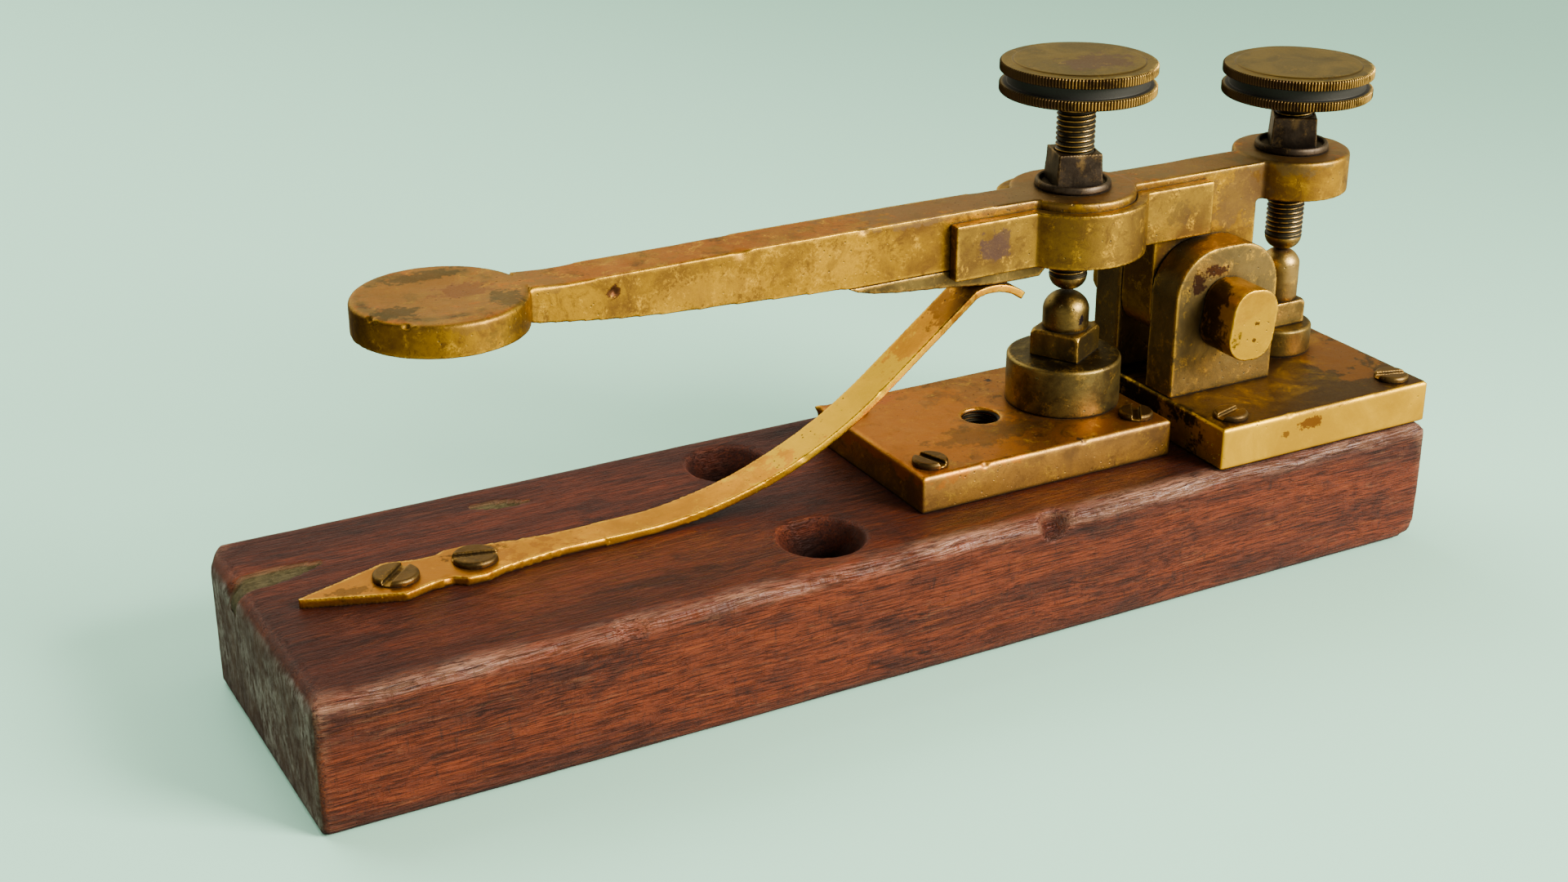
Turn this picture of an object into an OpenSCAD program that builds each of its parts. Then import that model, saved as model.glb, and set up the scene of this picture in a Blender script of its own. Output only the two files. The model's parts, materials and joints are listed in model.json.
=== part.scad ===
// Straight telegraph key on a wooden base: a rocking lever with a finger disc, a leaf spring,
// a front working contact, a rear back stop and two knobbed adjusting screws with lock nuts.
// Frame: +X runs from the finger disc to the rear contact, +Z up, origin at the middle of the
// base's underside. All sizes in millimetres.

/* [Wooden base] */
// Length of the base
base_l = 180; // [178:0.5:190]
// Width of the base
base_w = 48.6; // [48:0.1:60]
// Height of the base
base_h = 19.6; // [16:0.1:26]
// Rounding of the base's near top edge and its two end top edges
base_edge_r = 2.7; // [1:0.1:4]
// Rounding of the base's far top edge
base_far_edge_r = 1.5; // [1:0.1:4]
// X of the two mounting holes
mount_x = -13.3; // [-25:0.1:-9]
// Distance between the two mounting holes
mount_spacing = 28.3; // [24:0.1:30]
// Radius of the mounting holes
mount_r = 3.2; // [2:0.1:3.5]
// Radius of the countersinks' mouths
mount_mouth_r = 6.6; // [5:0.1:8]
// Depth of the countersinks
mount_sink = 4.5; // [2:0.1:6]

/* [Plates] */
// Length of the front plate
plate1_l = 43.8; // [43:0.1:46]
// Width of the front plate
plate1_w = 30.4; // [28:0.1:40]
// Thickness of the front plate
plate1_t = 5.75; // [4:0.05:6]
// Length of the rear plate
plate2_l = 40; // [39:0.1:40]
// Width of the rear plate
plate2_w = 47.2; // [46:0.1:48]
// Thickness of the rear plate
plate2_t = 6.6; // [5:0.1:7]
// X of the spare tapped hole in the front plate
tapped_x = 22.2; // [16:0.1:24]
// Radius of the spare tapped hole
tapped_r = 2.9; // [2:0.05:3]

/* [Lever] */
// Height of the lever's pivot axis
pivot_z = 38.8; // [38:0.1:40]
// X of the lever's pivot axis
pivot_x = 59; // [57:0.1:61]
// Width of the lever bar
bar_w = 7.3; // [6:0.1:7.3]
// Height of the lever's bosses
boss_top = 59.2; // [58:0.1:60]
// Radius of the finger disc
disc_r = 11.6; // [10:0.1:13]
// Thickness of the finger disc
disc_t = 4.6; // [3:0.1:6]
// X of the finger disc's centre
disc_x = -61.8; // [-64:0.1:-58]
// Radius of the front boss
boss1_r = 9.4; // [8:0.1:9.6]
// Radius of the rear boss
boss2_r = 9; // [8:0.1:9.4]

/* [Screws and contacts] */
// X of the front adjusting screw and contact
front_x = 37; // [36:0.1:38]
// X of the rear adjusting screw and back stop
rear_x = 78.4; // [78:0.1:79]
// Radius of the adjusting screws
rod_r = 2.9; // [2.5:0.05:3]
// Radial clearance of the adjusting screws in their tapped bores
rod_fit = 0.05; // [0.02:0.01:0.1]
// Gap between the front contacts with the lever up
contact_gap = 0.4; // [0.4:0.05:1]
// Gap at the back stop with the lever up
stop_gap = 0.03; // [0.02:0.01:0.1]
// Radius of the knobs
knob_r = 11.45; // [10.8:0.05:12]
// Top of the front knob
knob1_top = 78.1; // [76:0.1:80]
// Top of the rear knob
knob2_top = 72.6; // [72.5:0.1:76]

/* [Bearings] */
// Inner face of each bearing ear, from the middle plane
ear_in = 3.95; // [3.9:0.01:4.2]
// Thickness of each bearing ear
ear_t = 6.15; // [5:0.05:7]
// Length of each bearing ear
ear_l = 19.2; // [17:0.1:20]
// Top of the bearing ears
ear_top = 49.1; // [47:0.1:49.2]
// Radius of the trunnion screws' bearing ends
journal_r = 2; // [1.5:0.05:2.5]
// Radial running clearance of the lever on the bearing ends
journal_fit = 0.04; // [0.02:0.01:0.09]

/* [Leaf spring] */
// Thickness of the leaf spring
spring_t = 1.2; // [0.8:0.1:1.4]
// Half-width of the spring's upper strip
spring_hw = 3.1; // [2.5:0.1:3.4]
// Half-width of the spring just in front of its foot
spring_neck_hw = 2.5; // [2.2:0.1:3.1]
// Radius of the spring's long bend
spring_bend_r = 65; // [64.8:0.1:65.1]

/* [Hidden] */

eps = 0.01;
round_fn = 96;
arc_steps = 6;

plate1_x = 2.6;
plate1_top = base_h + plate1_t;
plate2_x = 49.5;
plate2_top = base_h + plate2_t;
ear_x = 59.5;
half_bar = bar_w / 2;
bar_bottom = 50.9;
block_l = 19.2;
block_x0 = 50.1;
block_bottom = 34.2;
boss1_bottom = 49.7;
boss2_bottom = 53;
strap_t = 1.85;
strap_top = 57.95;
trunnion_head_l = 7.1;
trunnion_head_w = 8.4;
trunnion_head_h = 11.1;
trunnion_tilt = 7;
journal_l = 2.6;
thread_r = 2.5;

post_top = 42.85;
front_tip_z = post_top + contact_gap;
rear_tip_z = post_top + stop_gap;
tip_h = 2.2;
tip_gap = 0.05;
spigot_r = 1.2;
spigot_l = 3;
washer_r = 5.7;
washer_h = 1.25;
washer_floor = 0.5;
washer_in_r = 5.1;
nut_af = 7;
nut_top_af = 6.5;
nut_h = 4.9;
nut_gap = 0.05;
knob_h = 4.85;
knob_disc_t = 1.45;
knob_groove_r = 10.3;
knob_face_r = 9.5;
knob_face_h = 0.2;

seat1_r = 8.65;
seat1_h = 7.55;
seat2_r = 5.7;
seat2_h = 4.5;
square1 = 7.9;
square1_h = 4.15;
square2 = 6.3;
square2_h = 3.9;
post1_r = 3.5;
post2_r = 3;
stud_r = 2;

brass = "goldenrod";
dark_brass = "darkgoldenrod";
bronze = "saddlebrown";
steel = "dimgray";
silver = "silver";
wood = "sienna";

// Screw places: [x, y, slot angle]
plate1_screws = [[6.2, -11.2, -72], [6.2, 11.2, 35], [42.7, -11.2, 55], [42.7, 11.2, -15]];
plate2_screws = [[53.7, -19.8, 16], [53.7, 19.8, 20], [85.4, -19.8, -16], [85.4, 19.8, -40]];
spring_screw_places = [[-70.3, 0, 45], [-59.1, 0, -15]];
ear_screw_x = [54, 65];
ear_screw_r = 1.5;
ear_screw_l = 10;
ear_head_h = 1.6;

// Points of an arc about [cx, cz], from angle a0 to a1
function arc(cx, cz, r, a0, a1, n = arc_steps) =
    [for (i = [0:n]) [cx + r * cos(a0 + (a1 - a0) * i / n), cz + r * sin(a0 + (a1 - a0) * i / n)]];

// A profile drawn in X and Z, extruded to the given width about y = y_mid
module xz_solid(points, width, y_mid = 0) {
    translate([0, y_mid + width / 2, 0])
        rotate([90, 0, 0])
            linear_extrude(height = width)
                polygon(points);
}

// A square-edged rectangle with true round corners, centred
module round_rect(w, h, r) {
    square([w - 2 * r, h], center = true);
    square([w, h - 2 * r], center = true);
    for (sx = [-1, 1], sy = [-1, 1])
        translate([sx * (w / 2 - r), sy * (h / 2 - r)])
            circle(r = r, $fn = round_fn);
}

module rod(r, h) {
    cylinder(r = r, h = h, $fn = round_fn);
}

// A turned piece with a small bevel on its top edge
module bevelled_rod(r, h, bevel) {
    rotate_extrude($fn = round_fn)
        polygon([[0, 0], [r, 0], [r, h - bevel], [r - bevel, h], [0, h]]);
}

// A plate with bevelled top edges, its lower corner at the origin
module bevelled_plate(l, w, t, bevel) {
    intersection() {
        xz_solid([[0, 0], [l, 0], [l, t - bevel], [l - bevel, t], [bevel, t], [0, t - bevel]], w);
        rotate([90, 0, 90])
            linear_extrude(height = l)
                polygon([[-w / 2, 0], [w / 2, 0], [w / 2, t - bevel], [w / 2 - bevel, t],
                    [bevel - w / 2, t], [-w / 2, t - bevel]]);
    }
}

// A slotted round-head wood screw standing on z = 0 with its shank below
module slotted_screw(head_r, head_h, shank_r, shank_l, slot_angle) {
    slot_w = 1.2;
    bevel = 0.3;
    difference() {
        union() {
            bevelled_rod(head_r, head_h, bevel);
            translate([0, 0, -shank_l])
                rod(shank_r, shank_l + eps);
        }
        rotate([0, 0, slot_angle])
            translate([-head_r - 1, -slot_w / 2, head_h - 0.65])
                cube([2 * head_r + 2, slot_w, 1]);
    }
}

// The same shanks as plain holes, for the pieces that they pass through
module screw_holes(places, r, top, depth) {
    for (p = places)
        translate([p[0], p[1], top - depth])
            rod(r, depth + 1);
}

screw_head_r = 2.6;
screw_head_h = 0.95;
screw_shank_r = 1.5;
plate_screw_l = 14;
spring_head_r = 3.15;
spring_head_h = 0.9;
spring_shank_r = 1.6;
spring_screw_l = 12;

module wooden_base() {
    end_r = 1.3;
    foot_r = 0.9;
    hl = base_l / 2;
    hw = base_w / 2;
    side = concat(
        [[-hl + foot_r, 0], [85.3, 0], [88.6, 1.2], [89.6, 4], [hl, 10]],
        arc(hl - base_edge_r, base_h - base_edge_r, base_edge_r, 0, 90),
        arc(-hl + base_edge_r, base_h - base_edge_r, base_edge_r, 90, 180),
        arc(-hl + foot_r, foot_r, foot_r, 180, 250));
    end = concat(
        arc(foot_r - hw, foot_r, foot_r, 180, 270), arc(hw - foot_r, foot_r, foot_r, 270, 360),
        arc(hw - base_far_edge_r, base_h - base_far_edge_r, base_far_edge_r, 0, 90),
        arc(base_edge_r - hw, base_h - base_edge_r, base_edge_r, 90, 180));
    color(wood)
        difference() {
            intersection() {
                xz_solid(side, base_w);
                translate([-hl, 0, 0])
                    rotate([90, 0, 90])
                        linear_extrude(height = base_l)
                            polygon(end);
                linear_extrude(height = base_h)
                    round_rect(base_l, base_w, end_r);
            }
            for (s = [-1, 1])
                translate([mount_x, s * mount_spacing / 2, 0]) {
                    translate([0, 0, -1])
                        rod(mount_r, base_h + 2);
                    translate([0, 0, base_h - mount_sink])
                        cylinder(r1 = mount_r, r2 = mount_mouth_r, h = mount_sink, $fn = round_fn);
                    translate([0, 0, base_h - eps])
                        rod(mount_mouth_r, 1);
                }
            screw_holes(plate1_screws, screw_shank_r, base_h, plate_screw_l - plate1_t);
            screw_holes(plate2_screws, screw_shank_r, base_h, plate_screw_l - plate2_t);
            screw_holes(spring_screw_places, spring_shank_r, base_h, spring_screw_l - spring_t);
        }
}

module front_plate() {
    color(brass)
        difference() {
            translate([plate1_x, 0, base_h])
                bevelled_plate(plate1_l, plate1_w, plate1_t, 0.4);
            screw_holes(plate1_screws, screw_shank_r, plate1_top, plate1_t + 1);
            translate([tapped_x, 0, base_h - 1])
                rod(tapped_r, plate1_t + 2);
            translate([front_x, 0, base_h - 1])
                rod(stud_r, plate1_t + 2);
        }
}

module rear_plate() {
    color(brass)
        difference() {
            translate([plate2_x, 0, base_h])
                bevelled_plate(plate2_l, plate2_w, plate2_t, 0.4);
            screw_holes(plate2_screws, screw_shank_r, plate2_top, plate2_t + 1);
            translate([rear_x, 0, base_h - 1])
                rod(stud_r, plate2_t + 2);
            for (x = ear_screw_x, s = [-1, 1])
                translate([x, s * (ear_in + ear_t / 2), base_h]) {
                    translate([0, 0, -1])
                        rod(ear_screw_r, plate2_t + 2);
                    translate([0, 0, -1])
                        cylinder(r1 = ear_screw_r + ear_head_h + 1, r2 = ear_screw_r,
                            h = ear_head_h + 1, $fn = round_fn);
                }
        }
}

module front_plate_screws() {
    color(dark_brass)
        for (p = plate1_screws)
            translate([p[0], p[1], plate1_top])
                slotted_screw(screw_head_r, screw_head_h, screw_shank_r, plate_screw_l, p[2]);
}

module rear_plate_screws() {
    color(dark_brass)
        for (p = plate2_screws)
            translate([p[0], p[1], plate2_top])
                slotted_screw(screw_head_r, screw_head_h, screw_shank_r, plate_screw_l, p[2]);
}

module spring_screws() {
    color(dark_brass)
        for (p = spring_screw_places)
            translate([p[0], p[1], base_h + spring_t])
                slotted_screw(spring_head_r, spring_head_h, spring_shank_r, spring_screw_l, p[2]);
}

// Centre line of the spring: a flat foot, one long bend, a straight climb and a curled lip
spring_foot_x = -36.9;
spring_angle = 38;
spring_climb_x = 18.5;
lip_r = 9;
lip_in = 20;
lip_out = -40;

module leaf_spring() {
    tip_x = -83.6;
    neck_end_x = -10;
    t = spring_t;
    top = base_h + t;
    bend_cz = top + spring_bend_r;
    bend_end = [spring_foot_x + spring_bend_r * sin(spring_angle),
        bend_cz - spring_bend_r * cos(spring_angle)];
    climb = (spring_climb_x - bend_end[0]) * tan(spring_angle);
    kink = [spring_climb_x, bend_end[1] + climb];
    lip_c = [kink[0] + lip_r * sin(lip_in), kink[1] - lip_r * cos(lip_in)];
    upper = concat(
        [[tip_x, top]],
        arc(spring_foot_x, bend_cz, spring_bend_r, -90, -90 + spring_angle, 14),
        arc(lip_c[0], lip_c[1], lip_r, 90 + lip_in, 90 + lip_out, 10));
    lower = concat(
        arc(lip_c[0], lip_c[1], lip_r - t, 90 + lip_out, 90 + lip_in, 10),
        arc(spring_foot_x, bend_cz, spring_bend_r + t, -90 + spring_angle, -90, 14),
        [[tip_x, base_h]]);
    plan = [[tip_x, -0.3], [-70.5, -5], [-66.5, -3.7], [-63.5, -3.5], [-61.9, -4.7],
        [-59.1, -4.8], [-56.5, -3.8], [-47, -spring_neck_hw], [neck_end_x, -spring_hw],
        [40, -spring_hw], [40, spring_hw], [neck_end_x, spring_hw], [-47, spring_neck_hw],
        [-56.5, 3.8], [-59.1, 4.8], [-61.9, 4.7],
        [-63.5, 3.9], [-66.5, 4], [-70.5, 5], [tip_x, 0.3]];
    color(brass)
        difference() {
            intersection() {
                xz_solid(concat(upper, lower), 12);
                translate([0, 0, base_h - 1])
                    linear_extrude(height = 40)
                        polygon(plan);
            }
            screw_holes(spring_screw_places, spring_shank_r, top, t + 1);
        }
}

// A round seat that a contact post's stud passes through
module contact_seat(x, z, r, h, bevel) {
    translate([x, 0, z])
        difference() {
            bevelled_rod(r, h, bevel);
            translate([0, 0, -1])
                rod(stud_r, h + 2);
        }
}

module front_contact_seat() {
    color(brass)
        contact_seat(front_x, plate1_top, seat1_r, seat1_h, 0.6);
}

module rear_contact_seat() {
    color(dark_brass)
        contact_seat(rear_x, plate2_top, seat2_r, seat2_h, 0.6);
}

// A square nut under a contact post
module contact_nut(x, z, across, h, turn) {
    translate([x, 0, z])
        rotate([0, 0, turn])
            difference() {
                intersection() {
                    translate([-across / 2, -across / 2, 0])
                        cube([across, across, h]);
                    bevelled_rod(across * 0.7, h, across * 0.08);
                }
                translate([0, 0, -1])
                    rod(stud_r, h + 2);
            }
}

module front_contact_nut() {
    color(dark_brass)
        contact_nut(front_x, plate1_top + seat1_h, square1, square1_h, 30);
}

module rear_contact_nut() {
    color(dark_brass)
        contact_nut(rear_x, plate2_top + seat2_h, square2, square2_h, 0);
}

// A domed contact post with the stud that holds its nut and seat to the plate
module contact_post(x, z, r, stud_l) {
    shoulder = post_top - z;
    dome = r * 0.85;
    translate([x, 0, z])
        rotate_extrude($fn = round_fn)
            polygon(concat(
                [[0, -stud_l], [stud_r, -stud_l], [stud_r, 0], [r, 0], [r, shoulder - dome]],
                [for (a = [15:15:75]) [r * cos(a), shoulder - dome + dome * sin(a)]],
                [[0, shoulder]]));
}

module front_contact_post() {
    color(brass)
        contact_post(front_x, plate1_top + seat1_h + square1_h, post1_r,
            seat1_h + square1_h + plate1_t - 0.5);
}

module rear_contact_post() {
    color(brass)
        contact_post(rear_x, plate2_top + seat2_h + square2_h, post2_r,
            seat2_h + square2_h + plate2_t - 0.5);
}

// One arched bearing ear, side = -1 for the near one and 1 for the far one
module bearing_ear(side) {
    crown_r = 7.6;
    x0 = ear_x - ear_l / 2;
    x1 = ear_x + ear_l / 2;
    y_mid = side * (ear_in + ear_t / 2);
    difference() {
        union() {
            xz_solid([[x0, plate2_top], [x1, plate2_top], [x1, ear_top - crown_r],
                [x1 - crown_r, ear_top], [x0 + crown_r, ear_top], [x0, ear_top - crown_r]],
                ear_t, y_mid);
            for (x = [x0 + crown_r, x1 - crown_r])
                translate([x, y_mid + ear_t / 2, ear_top - crown_r])
                    rotate([90, 0, 0])
                        rod(crown_r, ear_t);
        }
        translate([pivot_x, y_mid + ear_t, pivot_z])
            rotate([90, 0, 0])
                rod(thread_r + rod_fit, 2 * ear_t);
        for (x = ear_screw_x)
            translate([x, y_mid, plate2_top - 1])
                rod(ear_screw_r, ear_screw_l - plate2_t + 1);
    }
}

module near_bearing_ear() {
    color(brass)
        bearing_ear(-1);
}

module far_bearing_ear() {
    color(brass)
        bearing_ear(1);
}

// Countersunk screws that hold the ears from under the rear plate
module ear_screws() {
    color(steel)
        for (x = ear_screw_x, s = [-1, 1])
            translate([x, s * (ear_in + ear_t / 2), base_h]) {
                cylinder(r1 = ear_screw_r + ear_head_h, r2 = ear_screw_r, h = ear_head_h,
                    $fn = round_fn);
                rod(ear_screw_r, ear_screw_l);
            }
}

// Trunnion screw: an oblong thumb head, a threaded shank and a plain bearing end
module trunnion_screw(side) {
    seat_y = ear_in + ear_t;
    tip_y = half_bar - journal_l;
    head_gap = 0.05;
    scale_side = side < 0 ? 0 : 180;
    translate([pivot_x, 0, pivot_z])
        rotate([0, 0, scale_side])
            rotate([90, 0, 0]) {
                translate([0, 0, seat_y + head_gap])
                    linear_extrude(height = trunnion_head_l)
                        rotate([0, 0, side * trunnion_tilt])
                            round_rect(trunnion_head_w, trunnion_head_h, 3.6);
                translate([0, 0, ear_in])
                    rod(thread_r, ear_t + 1);
                translate([0, 0, tip_y])
                    rod(journal_r, ear_in);
            }
}

module near_trunnion_screw() {
    color(brass)
        trunnion_screw(-1);
}

module far_trunnion_screw() {
    color(brass)
        trunnion_screw(1);
}

// Bar and pivot block in one profile, with the two bosses
module lever_arm() {
    block_r = 3.6;
    x0 = block_x0;
    x1 = block_x0 + block_l;
    profile = concat(
        [[-54, 54.9], [-42, 53.3], [-33, 52.4], [-2.7, bar_bottom], [x0, bar_bottom]],
        arc(x0 + block_r, block_bottom + block_r, block_r, 180, 270),
        arc(x1 - block_r, block_bottom + block_r, block_r, 270, 360),
        [[x1, boss2_bottom], [rear_x - 4, boss2_bottom], [rear_x - 4, 58.9],
            [front_x, 59.1], [12, 59.5], [-8, 59.5], [-30, 59.2], [-54, 58.95]]);
    color(brass)
        difference() {
            union() {
                xz_solid(profile, bar_w);
                translate([front_x, 0, boss1_bottom])
                    bevelled_rod(boss1_r, boss_top - boss1_bottom, 0.3);
                translate([rear_x, 0, boss2_bottom])
                    bevelled_rod(boss2_r, boss_top - boss2_bottom, 0.3);
            }
            for (x = [front_x, rear_x])
                translate([x, 0, boss1_bottom - 1])
                    rod(rod_r + rod_fit, boss_top - boss1_bottom + 2);
            translate([pivot_x, bar_w, pivot_z])
                rotate([90, 0, 0])
                    rod(journal_r + journal_fit, 2 * bar_w);
            translate([disc_x, 0, 50])
                rod(disc_r, 12);
        }
}

module finger_disc() {
    top = 59.35;
    color(brass)
        translate([disc_x, 0, top - disc_t])
            bevelled_rod(disc_r, disc_t, 0.4);
}

// A side strap: two wings flat against the bar and a half round about the front boss
module side_strap(side) {
    h = strap_top - boss1_bottom;
    outer_r = boss1_r + strap_t;
    wings = [[13.4, 27.7], [46.8, 59.2]];
    translate([0, 0, boss1_bottom])
        difference() {
            union() {
                for (w = wings)
                    translate([w[0], side > 0 ? half_bar : -half_bar - strap_t, 0])
                        cube([w[1] - w[0], strap_t, h]);
                intersection() {
                    translate([front_x, 0, 0])
                        rod(outer_r, h);
                    translate([front_x - 20, side > 0 ? half_bar : -half_bar - 20, 0])
                        cube([40, 20, h]);
                }
            }
            translate([front_x, 0, -1])
                rod(boss1_r, h + 2);
        }
}

module near_side_strap() {
    color(brass)
        side_strap(-1);
}

module far_side_strap() {
    color(brass)
        side_strap(1);
}

module spring_rub_plate() {
    color(dark_brass)
        difference() {
            xz_solid([[-3.2, bar_bottom], [-1.5, 50.1], [0.9, 49.5], [5, 49], [13, 48.3],
                [21, 47.5], [29.2, 47.4], [30.5, 48.7], [30.5, bar_bottom]], bar_w);
            translate([front_x, 0, boss1_bottom])
                rod(boss1_r, 5);
        }
}

// A cup washer: a floor with a raised rim
module cup_washer(x) {
    taper = 0.35;
    translate([x, 0, boss_top])
        rotate_extrude($fn = round_fn)
            polygon([[rod_r + 0.2, 0], [washer_r, 0], [washer_r - taper, washer_h],
                [washer_in_r, washer_h], [washer_in_r, washer_floor],
                [rod_r + 0.2, washer_floor]]);
}

module front_cup_washer() {
    color(bronze)
        cup_washer(front_x);
}

module rear_cup_washer() {
    color(bronze)
        cup_washer(rear_x);
}

// A square lock nut that narrows slightly upwards
module lock_nut(x, turn) {
    a = nut_af / 2;
    b = nut_top_af / 2;
    side = [[-a, 0], [a, 0], [b, nut_h], [-b, nut_h]];
    translate([x, 0, boss_top + washer_floor + nut_gap])
        rotate([0, 0, turn])
            difference() {
                intersection() {
                    xz_solid(side, nut_af + 1);
                    rotate([0, 0, 90])
                        xz_solid(side, nut_af + 1);
                    bevelled_rod(nut_af * 0.7, nut_h, 0.3);
                }
                translate([0, 0, -1])
                    rod(rod_r + rod_fit, nut_h + 2);
            }
}

module front_lock_nut() {
    color(bronze)
        lock_nut(front_x, -18.4);
}

module rear_lock_nut() {
    color(bronze)
        lock_nut(rear_x, -36.4);
}

// The rounded contact tip, with a spigot that fits up into the drilled end of the screw
module contact_tip(x, z) {
    flat_r = 0.6;
    r = rod_r - 0.05;
    translate([x, 0, z]) {
        rotate_extrude($fn = round_fn)
            polygon(concat([[0, 0], [flat_r, 0]],
                [for (a = [15:15:90]) [flat_r + (r - flat_r) * sin(a), tip_h * (1 - cos(a))]],
                [[0, tip_h]]));
        translate([0, 0, tip_h - eps])
            rod(spigot_r, spigot_l);
    }
}

module front_contact_tip() {
    color(silver)
        contact_tip(front_x, front_tip_z);
}

module rear_contact_tip() {
    color(silver)
        contact_tip(rear_x, rear_tip_z);
}

// The threaded rod of an adjusting screw, up into its knob
module screw_rod(x, tip_z, knob_top) {
    z0 = tip_z + tip_h + tip_gap;
    z1 = knob_top - 1.5;
    translate([x, 0, z0])
        difference() {
            rod(rod_r, z1 - z0);
            translate([0, 0, -1])
                rod(spigot_r + rod_fit, spigot_l + 1.2);
        }
}

module front_screw_rod() {
    color(steel)
        screw_rod(front_x, front_tip_z, knob1_top);
}

module rear_screw_rod() {
    color(steel)
        screw_rod(rear_x, rear_tip_z, knob2_top);
}

// A knob of two rimmed discs with a groove between them and a raised top face
module knob(x, top) {
    r = knob_r;
    h = knob_h;
    translate([x, 0, top - h])
        difference() {
            rotate_extrude($fn = round_fn)
                polygon([[0, 0], [r - 0.3, 0], [r, 0.3], [r, knob_disc_t],
                    [knob_groove_r, knob_disc_t], [knob_groove_r, h - knob_face_h - knob_disc_t],
                    [r, h - knob_face_h - knob_disc_t], [r, h - knob_face_h - 0.3],
                    [r - 0.3, h - knob_face_h], [knob_face_r + 0.3, h - knob_face_h],
                    [knob_face_r, h], [0, h]]);
            translate([0, 0, -1])
                rod(rod_r, h - 0.5);
        }
}

module front_knob() {
    color(brass)
        knob(front_x, knob1_top);
}

module rear_knob() {
    color(brass)
        knob(rear_x, knob2_top);
}

wooden_base();
front_plate();
rear_plate();
front_plate_screws();
rear_plate_screws();
leaf_spring();
spring_screws();
front_contact_seat();
front_contact_nut();
front_contact_post();
rear_contact_seat();
rear_contact_nut();
rear_contact_post();
near_bearing_ear();
far_bearing_ear();
ear_screws();
near_trunnion_screw();
far_trunnion_screw();
lever_arm();
finger_disc();
near_side_strap();
far_side_strap();
spring_rub_plate();
front_cup_washer();
rear_cup_washer();
front_lock_nut();
rear_lock_nut();
front_contact_tip();
front_screw_rod();
front_knob();
rear_contact_tip();
rear_screw_rod();
rear_knob();
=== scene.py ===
"""Morse key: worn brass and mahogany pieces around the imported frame, with materials, light and camera.

Blender works in metres. Shapes and marks below are in millimetres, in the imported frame's axes.
"""
import itertools
import json
import math

import bmesh
import bpy
import numpy as np
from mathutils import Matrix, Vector


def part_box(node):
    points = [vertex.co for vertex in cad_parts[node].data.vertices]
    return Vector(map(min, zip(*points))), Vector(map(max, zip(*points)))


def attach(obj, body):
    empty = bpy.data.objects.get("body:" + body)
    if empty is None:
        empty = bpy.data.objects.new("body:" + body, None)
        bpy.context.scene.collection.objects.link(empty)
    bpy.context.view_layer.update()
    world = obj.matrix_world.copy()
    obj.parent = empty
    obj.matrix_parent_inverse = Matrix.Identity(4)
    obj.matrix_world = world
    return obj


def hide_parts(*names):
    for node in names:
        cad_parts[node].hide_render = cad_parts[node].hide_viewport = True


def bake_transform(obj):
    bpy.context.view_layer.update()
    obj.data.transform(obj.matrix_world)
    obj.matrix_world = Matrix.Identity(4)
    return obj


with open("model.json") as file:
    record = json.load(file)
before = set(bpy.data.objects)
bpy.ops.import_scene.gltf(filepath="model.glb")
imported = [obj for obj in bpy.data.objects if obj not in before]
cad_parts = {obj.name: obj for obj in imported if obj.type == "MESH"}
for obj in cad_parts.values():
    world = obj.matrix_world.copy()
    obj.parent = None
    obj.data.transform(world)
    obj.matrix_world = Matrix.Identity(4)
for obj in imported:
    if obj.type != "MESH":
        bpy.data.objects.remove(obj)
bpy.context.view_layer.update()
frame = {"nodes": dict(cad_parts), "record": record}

MM = 0.001
BEHAVIOUR = frame["record"]["behaviour"]
BODY_OF = {node: body for body, nodes in BEHAVIOUR["bodies"].items() for node in nodes}
MOUNTS = {mount["name"]: mount for mount in frame["record"]["mounts"]}
THREAD_PITCH = 0.75


# ---------------------------------------------------------------- camera

def make_camera():
    azimuth, elevation = math.radians(-28.72), math.radians(23.67)
    back = Vector((
        math.sin(azimuth) * math.cos(elevation),
        -math.cos(azimuth) * math.cos(elevation),
        math.sin(elevation),
    ))
    data = bpy.data.cameras.new("camera")
    data.lens = 51.23
    data.sensor_width = 36
    data.clip_start = 0.01
    camera = bpy.data.objects.new("camera", data)
    camera.location = (-0.1522, -0.2568, 0.1566)
    camera.rotation_euler = back.to_track_quat("Z", "Y").to_euler()
    bpy.context.scene.collection.objects.link(camera)
    bpy.context.scene.camera = camera


# ---------------------------------------------------------------- mesh helpers

def link(name, mesh):
    obj = bpy.data.objects.new(name, mesh)
    bpy.context.scene.collection.objects.link(obj)
    return obj


def box_mm(node):
    low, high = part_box(node)
    return np.array(low) / MM, np.array(high) / MM


def round_box(node):
    """The middle x and the radius of a round node that stands upright, with its lowest and highest z."""
    low, high = box_mm(node)
    return (low[0] + high[0]) / 2, (high[0] - low[0]) / 2, low[2], high[2]


def points_of(obj):
    co = np.empty(len(obj.data.vertices) * 3, np.float32)
    obj.data.vertices.foreach_get("co", co)
    return co.reshape(-1, 3).astype(float) / MM


def set_points(obj, points):
    obj.data.vertices.foreach_set("co", (points * MM).astype(np.float32).ravel())
    obj.data.update()


def normals_of(obj):
    out = np.empty(len(obj.data.vertices) * 3, np.float32)
    obj.data.vertex_normals.foreach_get("vector", out)
    return out.reshape(-1, 3).astype(float)


def set_attribute(obj, name, values):
    attribute = obj.data.attributes.new(name, "FLOAT", "POINT")
    attribute.data.foreach_set("value", np.asarray(values, np.float32))


def smooth_step(value, low, high):
    t = np.clip((value - low) / (high - low), 0, 1)
    return t * t * (3 - 2 * t)


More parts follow.
